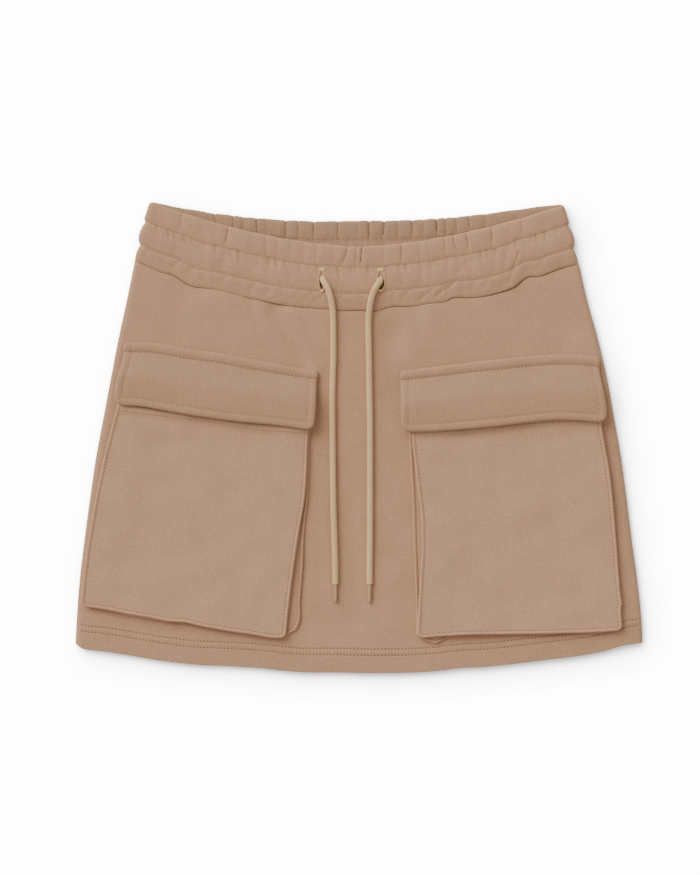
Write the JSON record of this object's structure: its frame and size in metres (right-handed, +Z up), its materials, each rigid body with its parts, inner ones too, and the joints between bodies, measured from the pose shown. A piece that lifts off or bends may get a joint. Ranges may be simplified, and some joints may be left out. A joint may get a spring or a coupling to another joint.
{
  "type": "cargo utility skirt",
  "caption": "Short pull-on cargo skirt laid flat, with an elastic drawcord waist, bellows pockets under topstitched flaps and a turned-up hem.",
  "frame": {"origin": "under the middle of the laid-out skirt, on the surface that it lies on", "axes": "+X across the skirt, to the viewer's right; +Y towards the waist; +Z up, out of the skirt's front"},
  "size_m": [0.4828, 0.4007, 0.0171],
  "materials": {
    "cloth": "matte heavy sweat cloth, tan",
    "cord": "matte braided cotton cord, beige",
    "tip": "satin cord tip, tan"
  },
  "bodies": {
    "root": {"skirt_front": "cloth", "skirt_back": "cloth", "waistband_front": "cloth", "waistband_back": "cloth", "pocket_face_left": "cloth", "pocket_face_right": "cloth", "pocket_gusset_left": "cloth", "pocket_gusset_right": "cloth", "flap_left": "cloth", "flap_right": "cloth", "drawcord_left": "cord", "drawcord_right": "cord", "cord_tip_left": "tip", "cord_tip_right": "tip"}
  },
  "joints": []
}
